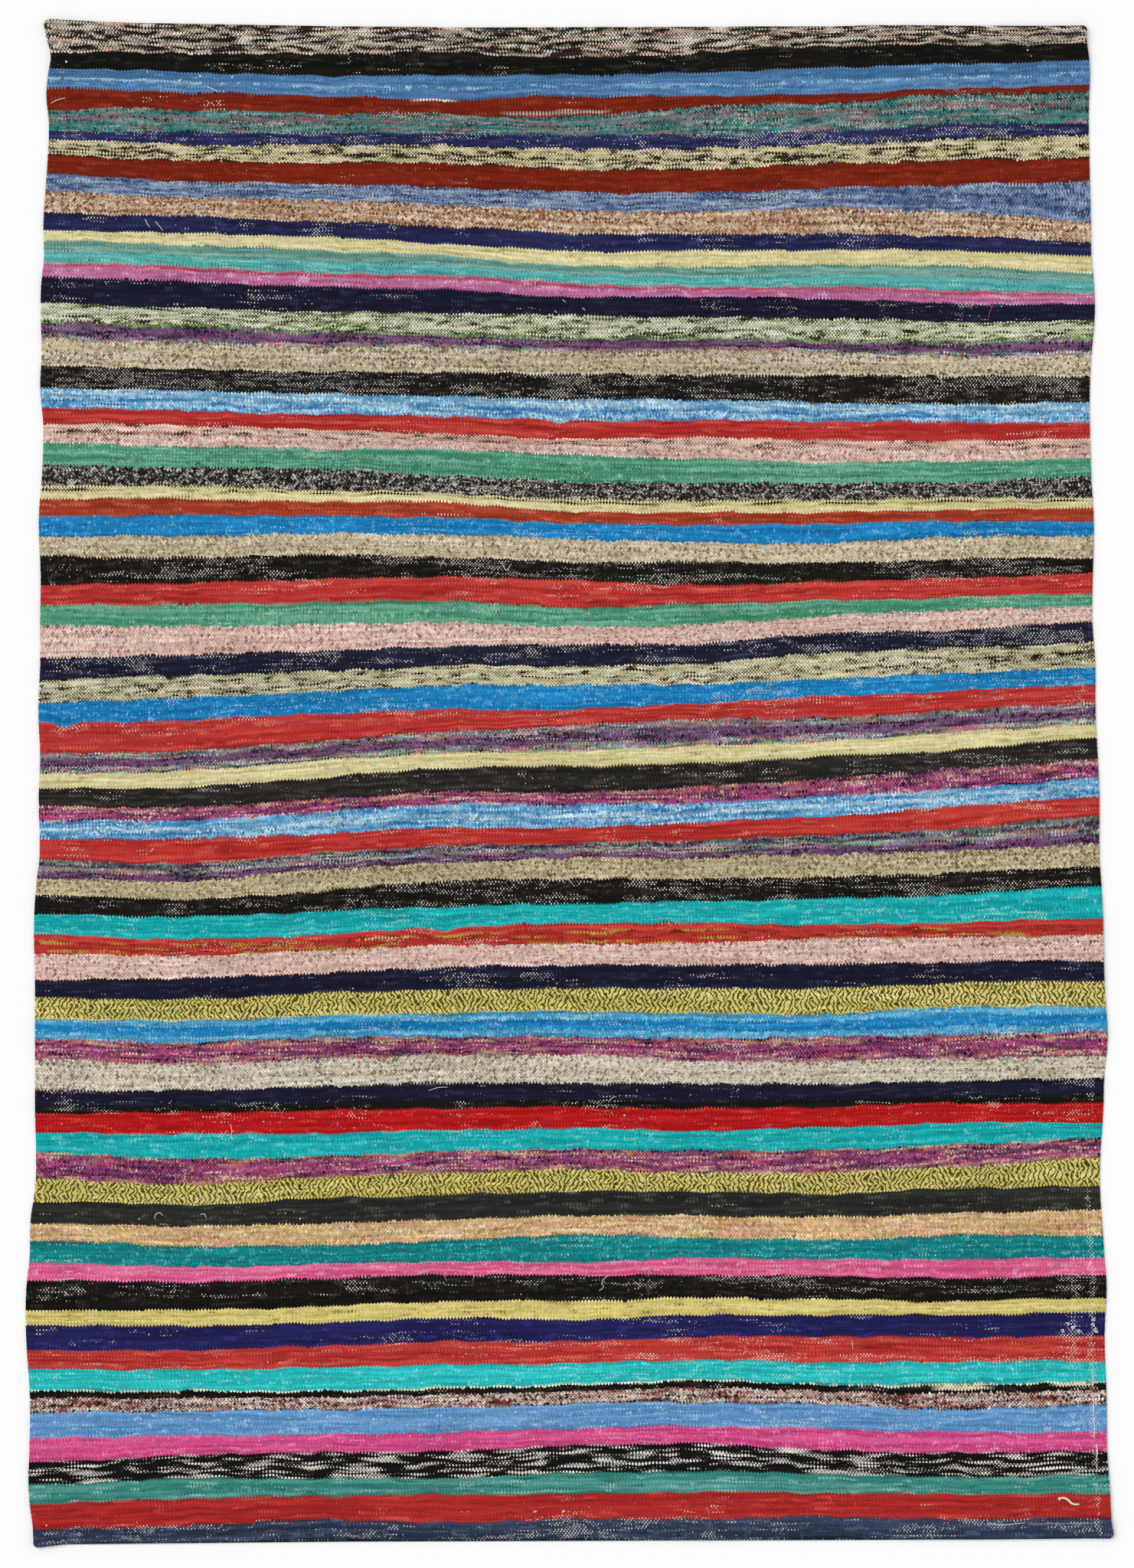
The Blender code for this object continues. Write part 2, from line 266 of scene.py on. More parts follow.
def cad_outline():
    """The solid's outline as four runs of points: left and right sides, far and near ends."""
    mesh = bpy.data.objects["rug"].data
    co = np.array([v.co for v in mesh.vertices])
    upper = co[co[:, 2] > THICK / 2]
    widest = upper[upper[:, 2] < upper[:, 2].min() + 0.001 * MM][:, :2]
    rim = np.unique(widest.round(6), axis=0)
    turn = np.arctan2(rim[:, 1] / cad_high.y, rim[:, 0] / cad_high.x)
    rim = rim[np.argsort(turn)]
    corner = [int(np.argmax(rim @ np.array(way))) for way in ((-1, -1), (1, -1), (1, 1), (-1, 1))]
    ring = np.roll(rim, -corner[0], axis=0)
    near, right, far = ((c - corner[0]) % len(rim) for c in corner[1:])
    return {
        "near": ring[: near + 1],
        "right": ring[near : right + 1],
        "far": ring[right : far + 1][::-1],
        "left": np.vstack([ring[far:], ring[:1]])[::-1],
    }


EDGE = cad_outline()


def side_at(name, y):
    run = EDGE[name]
    return np.interp(y, run[:, 1], run[:, 0])


def end_at(name, x):
    run = EDGE[name]
    return np.interp(x, run[:, 0], run[:, 1])


random = np.random.default_rng(1974)
WAVES = ((0.31, 1.0), (0.12, 1.3), (0.065, 1.1))  # about how many metres long, and mm high


def wander(x):
    """A small wavering in mm, different each time, as no beat of a weft lands dead straight."""
    total = np.zeros_like(x)
    for length, size in WAVES:
        total += size * np.sin(2 * np.pi * (x / (length * random.uniform(0.8, 1.3)) + random.random()))
    return total


def border_at(border, x):
    """Metres down from the far end, on a smooth curve through a stripe's readings."""
    at = np.array(ACROSS) * MM
    down = np.array(border) * MM
    slope = np.gradient(down, at)
    inside = np.clip(x, at[0], at[-1])
    i = np.clip(np.searchsorted(at, inside) - 1, 0, len(at) - 2)
    step = at[1] - at[0]
    t = (inside - at[i]) / step
    curve = (
        down[i] * (1 + 2 * t) * (1 - t) ** 2
        + down[i + 1] * t * t * (3 - 2 * t)
        + step * t * (1 - t) * (slope[i] * (1 - t) - slope[i + 1] * t)
    )
    return curve + (x - inside) * np.where(x < 0, slope[0], slope[-1]) * 0.5


CELLS = 160  # the patches repeat after this many


def soft_noise(x, y, cell, seed):
    """Smooth patches from 0 to 1, cell = (across, along) metres in size."""
    grid = np.random.default_rng(seed).random((CELLS, CELLS))
    gx = x / cell[0] + CELLS / 2
    gy = y / cell[1] + CELLS / 2
    ix = np.floor(gx).astype(int)
    iy = np.floor(gy).astype(int)
    tx = gx - ix
    ty = gy - iy
    tx = tx * tx * (3 - 2 * tx)
    ty = ty * ty * (3 - 2 * ty)
    ix0, ix1 = ix % CELLS, (ix + 1) % CELLS
    iy0, iy1 = iy % CELLS, (iy + 1) % CELLS
    low = grid[iy0, ix0] * (1 - tx) + grid[iy0, ix1] * tx
    high = grid[iy1, ix0] * (1 - tx) + grid[iy1, ix1] * tx
    return low * (1 - ty) + high * ty


def section():
    """The cloth cut across: for each point its share of the width, its metres in from the left
    before that share, and 1 on the upper face or 0 on the lower one. It runs once round. The last
    value is how wide a selvedge is."""
    margin = SELVEDGE[-1] * MM
    inner = np.linspace(0, 1, TOP_COLUMNS)
    under = np.linspace(0, 1, UNDER_COLUMNS)
    left = [(0.0, d * MM) for d in RIM + SELVEDGE[:-1]]
    right = [(1.0, 2 * margin - d * MM) for d in (RIM + SELVEDGE[:-1])[::-1]]
    upper = left + [(s, margin) for s in inner] + right
    lower = [(1.0, 2 * margin - RIM[-1] * MM)] + [(s, margin) for s in under[::-1]] + [(0.0, RIM[-1] * MM)]
    share = np.array([p[0] for p in upper + lower])
    inset = np.array([p[1] for p in upper + lower])
    top = np.array([1.0] * len(upper) + [0.0] * len(lower))
    return share, inset, top, margin


# Where a weft was laid in short, a border dips into the next stripe, or bulges up out of it: the
# border's number, mm across from the middle, and mm wide and deep.
Dip = namedtuple("Dip", "border across width depth")
DIPS = (
    Dip(3, -64, 20, -7),
    Dip(4, -860, 70, -7),
    Dip(20, -20, 16, 7),
    Dip(23, -70, 30, -5),
    Dip(25, -8, 26, 5),
    Dip(35, -990, 16, 12),
    Dip(46, -240, 15, 8),
    Dip(52, -380, 22, 4),
)


def lay_out(share, inset, margin):
    """Where each weft runs: y for every row and section point, each row's running number of wefts,
    each weft's yarn, and the first weft of each stripe."""
    x = (share - 0.5) * WIDTH
    lines = []
    for n in range(len(STRIPES) + 1):
        at = x.copy()
        wavering = wander(x) * MM
        for _ in range(3):  # the sides depend on the height, and the height on how far across
            if n == 0:
                y = end_at("far", at)
            elif n == len(STRIPES):
                y = end_at("near", at)
            else:
                y = cad_high.y - border_at(STRIPES[n - 1].border, at) + wavering
                for dip in (d for d in DIPS if d.border == n):
                    y -= dip.depth * MM * np.exp(-(((at - dip.across * MM) / (dip.width * MM)) ** 2))
            left = side_at("left", y[0])
            right = side_at("right", y[np.argmax(share)])
            at = left + inset + share * (right - left - 2 * margin)
        lines.append(y)
    rows, count, wefts, firsts = [], [], [], []
    for n, stripe in enumerate(STRIPES):
        gap = lines[n] - lines[n + 1]
        picks = max(2, round(float(np.mean(gap)) / PICK))
        shared = []
        firsts.append(len(wefts))
        for part in stripe.wefts.split():
            name, _, times = part.partition(":")
            shared += [name] * int(times or 1)
        for p in range(picks):
            thick = UNEVEN * (soft_noise(x, p * PICK, (0.09, 0.011), 51 + n) - 0.5) if p else 0.0
            rows.append(lines[n] - gap * ((p + thick) / picks))
            count.append(float(len(wefts)))
            wefts.append(shared[int((p + 0.5) / picks * len(shared))])
    rows.append(lines[-1])
    count.append(float(len(wefts)))
    # the rounded ends need rows of their own
    far = [(rows[0] * (1 - t) + rows[1] * t, t) for t in np.array(RIM[1:]) * MM / PICK]
    near = [(rows[-1] * (1 - t) + rows[-2] * t, len(wefts) - t) for t in np.array(RIM[:0:-1]) * MM / PICK]
    rows = [rows[0]] + [r for r, _ in far] + rows[1:-1] + [r for r, _ in near] + [rows[-1]]
    count = [count[0]] + [c for _, c in far] + count[1:-1] + [c for _, c in near] + [count[-1]]
    return np.array(rows), np.array(count), wefts, firsts + [len(wefts)]


def rounded(distance, reach):
    """How full the cloth is at this distance in from an edge, on a quarter circle."""
    part = np.clip(distance / reach, 0, 1)
    return np.sqrt(1 - (1 - part) ** 2)


def shape_cloth():
    share, inset, top, margin = section()
    y, count, wefts, firsts = lay_out(share, inset, margin)
    rightmost = int(np.argmax(share * 1e3 + inset * (top > 0)))
    left = side_at("left", y[:, :1])
    right = side_at("right", y[:, rightmost : rightmost + 1])
    # each weft turns back round the outermost warp, which makes the sides faintly scalloped
    turn = np.arange(len(count))[:, None] % 2 * SCALLOP
    scallop = turn + random.uniform(-0.5, 0.5, (len(count), 1)) * SCALLOP
    left = left + scallop
    right = right - scallop[::-1]
    x = left + inset + share * (right - left - 2 * margin)
    warp = (x - left) / (right - left)

    side = np.minimum(x - left, right - x)
    end = np.minimum(y.max(axis=0) - y, y - y.min(axis=0))
    full = rounded(side, RIM[-1] * MM) * np.maximum(rounded(end, 2.6 * MM), 0.3)
    hem = np.clip((HEM + 9 * MM - end) / HEM_SLOPE, 0, 1)
    hem = hem * hem * (3 - 2 * hem) * HEM_RISE
    under_hem = np.where(end < HEM, 0.0, np.clip(1 - (end - HEM) / HEM_GAP, 0, 1)) * HEM_RISE
    doubled = np.exp(-(((side - 8 * MM) / (6 * MM)) ** 2)) * RIDGE

    # faint ripples, a slack selvedge, and corners that lift a little
    ripple = np.maximum(soft_noise(x, y, (0.34, 0.21), 5) - 0.42, 0) * RIPPLE
    slack = np.maximum(soft_noise(x, y, (0.5, 0.16), 8) - 0.4, 0) * np.exp(-side / 0.05) * SLACK
    curl = np.exp(-(side + end) / 0.07) * CURL
    lift = ripple + slack + curl

    middle = THICK / 2
    upper = middle + (middle + doubled) * full + hem * rounded(end, 6 * MM)
    lower = middle - middle * full + under_hem
    z = np.where(top > 0, upper, lower) + lift
    return x, y, z, warp, count, wefts, firsts, side


WEFT_LENGTH = 2300  # mm, with something over at both sides
WEFT_START = -1.3  # metres across, left of the left side


def dye(name, x):
    """One weft's colours along its run: rag and fleck, at these places across."""
    spun = YARNS[name]
    dyes = np.array([linear(h) for h in spun.dyes])
    flecks = np.array([linear(h) for h in spun.fleck])
    steps = 2 * int(WEFT_LENGTH / spun.run) + 8
    found = []
    for colours in (dyes, flecks):
        lengths = spun.run * MM * random.uniform(0.4, 1.6, steps)
        starts = np.cumsum(lengths) + WEFT_START - random.random() * spun.run * MM
        picked = random.integers(0, len(colours), steps)
        run = np.clip(np.searchsorted(starts, x), 0, steps - 1)
        found.append(colours[picked[run]] * random.uniform(0.94, 1.06))
    return found


# Scraps of another cloth laid in with a weft: the stripe, the share of its height that lies above
# them, and their two ends in mm across from the middle.
Scrap = namedtuple("Scrap", "stripe down left right dye")
SCRAPS = (
    Scrap(1, 0.0, -1050, -990, "d2c8ba"),
    Scrap(1, 0.1, -1050, -1000, "b4a898"),
    Scrap(3, 0.5, -1040, -730, "a0c2dc"),
    Scrap(4, 0.05, -316, -219, "e6dfd4"),
    Scrap(4, 0.8, -130, 75, "a8a09a"),
    Scrap(71, 0.9, -132, -45, "dcd7ce"),
    Scrap(47, 0.45, -420, -300, "c8a85a"),
    Scrap(66, 0.5, 984, 1044, "c88078"),
    Scrap(68, 0.16, 700, 819, "e4dcbc"),
    Scrap(68, 0.24, 715, 805, "e4dcbc"),
    Scrap(68, 0.16, 931, 1010, "dcd4b4"),
)


def dye_wefts(wefts, firsts, x_section, y_rows):
    """Every weft's colours, with the fading of old cloth in broad patches."""
    rag = np.zeros((len(wefts), len(x_section), 4))
    fleck = np.zeros_like(rag)
    for n, name in enumerate(wefts):
        rag[n, :, :3], fleck[n, :, :3] = dye(name, x_section)
        rag[n, :, 3] = YARNS[name].grain
        share = YARNS[name].share
        change = 1.4 * soft_noise(x_section, float(n), (0.07, 1.0), 27) - 0.7 + random.uniform(-0.5, 0.5)
        fleck[n, :, 3] = share + min(share, 1 - share) * change
    for scrap in SCRAPS:
        first, after = firsts[scrap.stripe - 1 : scrap.stripe + 1]
        n = first + int(scrap.down * (after - first))
        here = (x_section > scrap.left * MM) & (x_section < scrap.right * MM)
        rag[n, here, :3] = linear(scrap.dye)
        fleck[n, here, 3] *= 0.3
    fade = 0.93 + 0.14 * soft_noise(x_section[None, :], y_rows[:, None], (0.28, 0.06), 21)
    rag[:, :, :3] *= fade[:, :, None]
    return rag, fleck


# Places where the warp shows most, in mm: from the nearer side, and down from the far end.
Worn = namedtuple("Worn", "side across down width length strength")
WORN = (
    Worn("right", 62, 2560, 11, 340, 0.7),
    Worn("right", 68, 2592, 24, 17, 0.5),
    Worn("right", 25, 2640, 9, 430, 1.0),
    Worn("right", 24, 1180, 6, 1500, 0.20),
    Worn("left", 60, 1120, 40, 60, 0.10),
)


def wear(x, y, count, wefts, side, right):
    """For each row and section point: how far a warp shows, how loose the wefts lie and so how deep
    the painted shade and painted shadow between their knuckles are, and whether their twist is
    coarse enough to see."""
    bare = np.zeros_like(x)
    loose = np.zeros_like(x)
    coarse = np.zeros_like(x)
    last = len(wefts) - 1
    for r, c in enumerate(count):
        names = [wefts[int(np.clip(round(c) + k, 0, last))] for k in (-1, 0)]
        above, below = (YARNS[name] for name in names)
        border = above is not below
        bare[r] = (above.bare + below.bare) / 2
        # painted shade and painted shadow between the knuckles lie deeper along a stripe's border
        loose[r] = (above.loose + below.loose) / 2 + (0.25 if border else 0.0)
        coarse[r] = names.count("marl") / 2
    # it wears through in low patches, and in single rows where a weft was thin
    patch = soft_noise(x, y, (0.07, 0.014), 31)
    row = soft_noise(x, y, (0.1, 0.0031), 33)
    broad = soft_noise(x, y, (0.5, 0.3), 37)
    column = soft_noise(x, y, (0.009, 0.09), 39)
    worn = 0.4 * patch + 0.32 * row + 0.16 * broad + 0.12 * column
    bare = np.clip((worn - 0.665 + 0.43 * np.sqrt(bare)) * 3.4, 0, 0.85) * (bare > 0)
    # the painted shade and shadow come in patches, and in single rows where a weft lies looser
    slack = 0.5 * soft_noise(x, y, (0.09, 0.0031), 43) + 0.5 * soft_noise(x, y, (0.12, 0.02), 47)
    loose = loose * (0.2 + 1.6 * slack)
    down = cad_high.y - y
    for place in WORN:
        off = right - x if place.side == "right" else side
        near = np.exp(-(((off - place.across * MM) / (place.width * MM)) ** 2))
        near = near * np.exp(-(((down - place.down * MM) / (place.length * MM)) ** 2))
        bare = bare + near * place.strength * (0.6 + soft_noise(x, y, (0.02, 0.012), 41))
    inside = np.clip((side - 13 * MM) / (6 * MM), 0, 1)
    return np.clip(bare, 0, 0.95) * inside, np.clip(loose, 0, 0.9) * (0.3 + 0.7 * inside), coarse


def build_cloth():
    x, y, z, warp, count, wefts, firsts, side = shape_cloth()
    rows, around = x.shape
    points = np.stack([x, y, z], axis=-1).reshape(-1, 3)
    number = np.arange(rows * around).reshape(rows, around)
    onward = np.roll(number, -1, axis=1)
    quads = np.stack([number[:-1], number[1:], onward[1:], onward[:-1]], axis=-1).reshape(-1, 4)
    caps = [tuple(int(n) for n in number[0]), tuple(int(n) for n in number[-1][::-1])]
    mesh = bpy.data.meshes.new("rag_rug")
    mesh.from_pydata(points.tolist(), [], quads.tolist() + caps)

    weave = np.zeros((rows * around, 3), dtype=np.float32)
    weave[:, 0] = (warp * WIDTH / WARP).ravel()
    weave[:, 1] = np.repeat(count, around)
    mesh.attributes.new("weave", "FLOAT_VECTOR", "POINT").data.foreach_set("vector", weave.ravel())
    # worn holds how far a warp shows, how deep the painted shade and shadow between the knuckles are, and
    # how coarse the twist is
    worn = np.zeros_like(weave)
    for n, amount in enumerate(wear(x, y, count, wefts, side, x.max(axis=1, keepdims=True))):
        worn[:, n] = amount.ravel()
    mesh.attributes.new("worn", "FLOAT_VECTOR", "POINT").data.foreach_set("vector", worn.ravel())

    # Over any one warp only every second weft comes up, so a face holds two colours: that of the
    # weft which shows over the even warps there, and that of the one over the odd warps.
    middle = y[np.searchsorted(count, np.arange(len(wefts)) + 0.5), around // 3]
    rag, fleck = dye_wefts(wefts, firsts, x[rows // 2], middle)
    first = np.floor(count[:-1] + 1e-6).astype(int)
    last = len(wefts) - 1
    shows = {"even": np.clip(first // 2 * 2, 0, last), "odd": np.clip((first + 1) // 2 * 2 - 1, 0, last)}
    for parity, weft in shows.items():
        for kind, colours in (("rag", rag), ("fleck", fleck)):
            here = colours[weft]
            onto = np.roll(here, -1, axis=1)
            corners = np.stack([here, here, onto, onto], axis=2).reshape(-1, 4)
            ends = np.vstack([colours[weft[0]], colours[weft[-1]][::-1]])
            layer = mesh.attributes.new(f"{kind}_{parity}", "FLOAT_COLOR", "CORNER")
            layer.data.foreach_set("color", np.vstack([corners, ends]).astype(np.float32).ravel())
    mesh.shade_smooth()
    mesh.validate()
    return mesh


rug = bpy.data.objects.new("rag_rug", build_cloth())
bpy.context.scene.collection.objects.link(rug)


# Weft-faced weave of cotton rag: soft, matt, never quite one colour. What gives it away is the
# fine grid of knuckles, each where a weft rides over one warp, set like bricks, so that every
# stripe ends in small teeth. Off-white warps show as dots between the knuckles where it is worn.
# The weave has its real counts, 3.2 mm from warp to warp and 3.45 mm from weft to weft. Single
# fibres are too fine to show, so they are drawn as blotches of one to five millimetres.
UNBLEACHED = "e9e4d6"  # the warps
DOT_WIDE = 0.47  # half a dot of bare warp, in warps
DOT_TALL = 0.27  # and in pairs of wefts
ROUND_OFF = 0.8 * MM  # how high a knuckle stands


def add(tree, kind, *values, **settings):
    """Adds one node with these settings. The values and links fill its inputs in their order."""
    made = tree.nodes.new("ShaderNode" + kind)
    for name, setting in settings.items():
        setattr(made, name, setting)
    for socket, value in zip([s for s in made.inputs if s.enabled], values):
        if isinstance(value, bpy.types.Node):
            value = next(s for s in value.outputs if s.enabled)
        if isinstance(value, bpy.types.NodeSocket):
            tree.links.new(value, socket)
        else:
            socket.default_value = value
    return made


def mottle(tree, at, sizes, detail=1.0):
    """Soft blotches. Sizes are how many there are to one warp, 3.2 mm, and to one weft, 3.45 mm."""
    stretched = add(tree, "VectorMath", at, sizes, operation="MULTIPLY")
    return add(tree, "TexNoise", stretched, 1.0, detail, noise_dimensions="2D")


def rag_weave():
    mat = bpy.data.materials.new("weft_faced_cotton_rag")
    mat.use_nodes = True
    tree = mat.node_tree
    shader = tree.nodes["Principled BSDF"]

    # warps are counted across and wefts down the rug; the warps never lie quite parallel
    counted = add(tree, "Attribute", attribute_name="weave").outputs["Vector"]
    weave = add(tree, "SeparateXYZ", counted)
    waver = add(tree, "Math", mottle(tree, counted, (0.03, 0.015, 1.0)), 0.5, operation="SUBTRACT")
    warps = add(tree, "Math", waver, 2.2, weave.outputs["X"], operation="MULTIPLY_ADD")
    wefts = weave.outputs["Y"]
    # the worn attribute holds bare warp, the strength of the painted shade and shadow, and a coarse twist
    worn = add(tree, "Attribute", attribute_name="worn").outputs["Vector"]
    bare, loose, coarse = add(tree, "SeparateXYZ", worn).outputs

    def knuckle(odd):
        """The nearest place where a weft rides over an odd warp, or over an even one: its height,
        its warp and weft, the pale dot of bare warp and the dark dot of painted shadow at its joints,
        and how far down it is."""
        turn = add(tree, "Math", warps, 0.5, -0.25 - odd / 2, operation="MULTIPLY_ADD")
        nearest = add(tree, "Math", turn, operation="ROUND")
        warp = add(tree, "Math", nearest, 2.0, float(odd), operation="MULTIPLY_ADD")
        across = add(tree, "Math", turn, nearest, operation="SUBTRACT")
        across = add(tree, "Math", across, 2.0, operation="MULTIPLY")
        place = add(tree, "Math", wefts, 0.5, odd / 2, operation="MULTIPLY_ADD")
        cell = add(tree, "Math", place, operation="FLOOR")
        weft = add(tree, "Math", cell, 2.0, -float(odd), operation="MULTIPLY_ADD")
        along = add(tree, "Math", place, cell, operation="SUBTRACT")
        along = add(tree, "Math", along, 2.0, -1.0, operation="MULTIPLY_ADD")
        narrow = add(tree, "Math", across, across, operation="MULTIPLY")
        narrow = add(tree, "Math", narrow, 1.25, operation="MULTIPLY")
        fall = add(tree, "Math", along, along, narrow, operation="MULTIPLY_ADD")
        height = add(tree, "Math", 1.0, fall, operation="SUBTRACT")

        # the joint between this knuckle and the next one up the same warp
        joint = add(tree, "Math", place, operation="ROUND")
        above = add(tree, "Math", place, joint, operation="SUBTRACT")
        above = add(tree, "Math", above, DOT_TALL, operation="DIVIDE")
        beside = add(tree, "Math", across, DOT_WIDE, operation="DIVIDE")
        beside = add(tree, "Math", beside, beside, operation="MULTIPLY")
        spread = add(tree, "Math", above, above, beside, operation="MULTIPLY_ADD")
        at = add(tree, "Math", joint, 2.0, 0.5 - odd, operation="MULTIPLY_ADD")
        at = add(tree, "CombineXYZ", warp, at, 7.0)
        runs = mottle(tree, at, (0.09, 3.1, 1.0), detail=0.0)
        runs = add(tree, "Math", runs, 0.25, operation="SUBTRACT")
        luck = add(tree, "TexWhiteNoise", at)
        luck = add(tree, "Math", luck, 0.5, runs, operation="MULTIPLY_ADD")
        open_up = add(tree, "Math", bare, luck, operation="SUBTRACT")
        open_up = add(tree, "Math", open_up, 2.2, operation="MULTIPLY", use_clamp=True)
        white = add(tree, "Math", open_up, spread, operation="SUBTRACT")
        white = add(tree, "Math", white, 1.5, operation="MULTIPLY", use_clamp=True)
        # a dark dot of painted shadow at an open joint, where the weave lies loose
        shadow = add(tree, "Math", loose, luck)
        shadow = add(tree, "Math", shadow, 1.0, operation="SUBTRACT")
        shadow = add(tree, "Math", shadow, 3.0, operation="MULTIPLY", use_clamp=True)
        dark = add(tree, "Math", shadow, spread, operation="SUBTRACT")
        dark = add(tree, "Math", dark, 1.5, operation="MULTIPLY", use_clamp=True)
        return height, add(tree, "CombineXYZ", warp, weft, float(odd)), white, dark, along

    even = knuckle(0)
    odd = knuckle(1)
    upper = add(tree, "Math", odd[0], even[0], operation="GREATER_THAN")
    height = add(tree, "Math", odd[0], even[0], operation="MAXIMUM")
    number = add(tree, "Mix", upper, even[1], odd[1], data_type="VECTOR")
    white = add(tree, "Math", even[2], odd[2], operation="MAXIMUM")
    dark = add(tree, "Math", even[3], odd[3], operation="MAXIMUM")
    along = add(tree, "Mix", upper, even[4], odd[4])
    rags = [add(tree, "Attribute", attribute_name=f"rag_{which}").outputs for which in ("even", "odd")]
    flecks = [add(tree, "Attribute", attribute_name=f"fleck_{which}").outputs for which in ("even", "odd")]
    grain = add(tree, "Mix", upper, rags[0]["Alpha"], rags[1]["Alpha"])
    share = add(tree, "Mix", upper, flecks[0]["Alpha"], flecks[1]["Alpha"])
    fleck = add(tree, "Mix", upper, flecks[0]["Color"], flecks[1]["Color"], data_type="RGBA")

    # a mixed yarn now and then brings up a scrap of its neighbour's colour
    seldom = add(tree, "Math", grain, share, operation="MULTIPLY")
    stray = add(tree, "VectorMath", number, (1.0, 1.0, 5.0), operation="MULTIPLY")
    stray = add(tree, "TexWhiteNoise", stray)
    stray = add(tree, "Math", stray, seldom, operation="LESS_THAN")
    other = add(tree, "Math", upper, stray, operation="SUBTRACT")
    other = add(tree, "Math", other, operation="ABSOLUTE")
    rag = add(tree, "Mix", other, rags[0]["Color"], rags[1]["Color"], data_type="RGBA")

    # a twist shows now one of its colours and now the other, in long or short runs
    luck = add(tree, "VectorMath", number, (1.0, 1.0, 7.0), operation="MULTIPLY")
    luck = add(tree, "TexWhiteNoise", luck)
    fibre = mottle(tree, counted, (0.65, 2.2, 1.0), detail=2.0)
    often = add(tree, "Math", grain, grain, operation="MULTIPLY")
    often = add(tree, "Math", often, 0.7, 0.04, operation="MULTIPLY_ADD")
    warp, weft, _ = add(tree, "SeparateXYZ", number).outputs
    runs = add(tree, "Math", warp, often, operation="MULTIPLY")
    runs = mottle(tree, add(tree, "CombineXYZ", runs, weft, 0.0), (1.0, 3.71, 1.0))
    runs = add(tree, "Math", runs, 3.9, -1.2, operation="MULTIPLY_ADD")
    flecked = add(tree, "Math", share, 1.5, operation="MULTIPLY")
    flecked = add(tree, "Math", flecked, runs, operation="SUBTRACT")

    # a second colour that is the darker one lies deep between the knuckles: partly the twist's own
    # darker colour, partly painted shade in the valleys
    lies = add(tree, "Math", loose, 2.0, 0.4, operation="MULTIPLY_ADD")
    deep = add(tree, "Math", 0.5, height, operation="SUBTRACT")
    deep = add(tree, "Math", deep, lies, operation="MULTIPLY")
    deep = add(tree, "Math", along, 0.4, deep, operation="MULTIPLY_ADD")
    darker = add(tree, "RGBToBW", fleck)
    darker = add(tree, "Math", add(tree, "RGBToBW", rag), darker, operation="GREATER_THAN")
    deep = add(tree, "Math", deep, darker, operation="MULTIPLY")
    flecked = add(tree, "Math", flecked, deep)

    # and it breaks up into whole knuckles and single fibres
    half = add(tree, "Math", grain, 0.5, operation="MULTIPLY")
    single = add(tree, "Math", luck, 0.5, operation="SUBTRACT")
    single = add(tree, "Math", single, half, operation="MULTIPLY")
    fine = add(tree, "Math", grain, 4.2, 0.7, operation="MULTIPLY_ADD")
    speck = add(tree, "Math", fibre, 0.5, operation="SUBTRACT")
    speck = add(tree, "Math", speck, fine, operation="MULTIPLY")
    speck = add(tree, "Math", speck, single)
    flecked = add(tree, "Math", flecked, speck)
    flecked = add(tree, "Math", flecked, 4.0, 0.5, operation="MULTIPLY_ADD", use_clamp=True)

    # a coarse two-ply yarn slants, one way for a few knuckles and then the other
    lean = mottle(tree, counted, (0.08, 0.26, 1.0), detail=0.0)
    lean = add(tree, "Math", lean, 0.5, operation="GREATER_THAN")
    lean = add(tree, "Math", lean, 2.6, -1.3, operation="MULTIPLY_ADD")
    bend = mottle(tree, counted, (0.32, 0.3, 1.0))
    bend = add(tree, "Math", bend, 7.5, luck, operation="MULTIPLY_ADD")
    slant = add(tree, "Math", wefts, lean, bend, operation="MULTIPLY_ADD")
    slant = add(tree, "Math", warps, 2.1, slant, operation="MULTIPLY_ADD")
    slant = add(tree, "Math", slant, operation="SINE")
    slant = add(tree, "Math", height, 1.3, slant, operation="MULTIPLY_ADD")
    slant = add(tree, "Math", slant, 1.4, operation="MULTIPLY")
    slant = add(tree, "Math", 1.4, slant, operation="SUBTRACT", use_clamp=True)
    second = add(tree, "Mix", coarse, flecked, slant)
    cloth = add(tree, "Mix", second, rag, fleck, data_type="RGBA")

    # each knuckle is a little lighter or darker, and fibrous; painted shade lightens its top, darkens
    # it where it dives under, and darkens the dots of painted shadow at its joints
    swing = add(tree, "Math", grain, 0.5, 0.08, operation="MULTIPLY_ADD")
    tone = add(tree, "Math", luck, 0.5, operation="SUBTRACT")
    tone = add(tree, "Math", tone, swing, 1.0, operation="MULTIPLY_ADD")
    streak = mottle(tree, add(tree, "CombineXYZ", warps, wefts, 0.0), (0.03, 0.75, 1.0))
    streak = add(tree, "Math", streak, 0.75, 0.63, operation="MULTIPLY_ADD")
    fuzz = add(tree, "Math", fibre, 0.6, 0.72, operation="MULTIPLY_ADD")
    dive = add(tree, "Math", 0.7, height, operation="SUBTRACT")
    shade = add(tree, "Math", loose, 0.45, 0.08, operation="MULTIPLY_ADD")
    shade = add(tree, "Math", shade, dive, operation="MULTIPLY")
    shade = add(tree, "Math", 0.88, shade, operation="SUBTRACT")
    dark = add(tree, "Math", dark, -0.8, 1.0, operation="MULTIPLY_ADD")
    for part in (streak, fuzz, shade, dark):
        tone = add(tree, "Math", tone, part, operation="MULTIPLY")
    cloth = add(tree, "VectorMath", cloth, tone, operation="SCALE")

    # the unbleached warps that peep out
    bright = add(tree, "Math", luck, 0.6, 0.4, operation="MULTIPLY_ADD")
    white = add(tree, "Math", white, bright, operation="MULTIPLY")
    cloth = add(tree, "Mix", white, cloth, (*linear(UNBLEACHED), 1.0), data_type="RGBA")

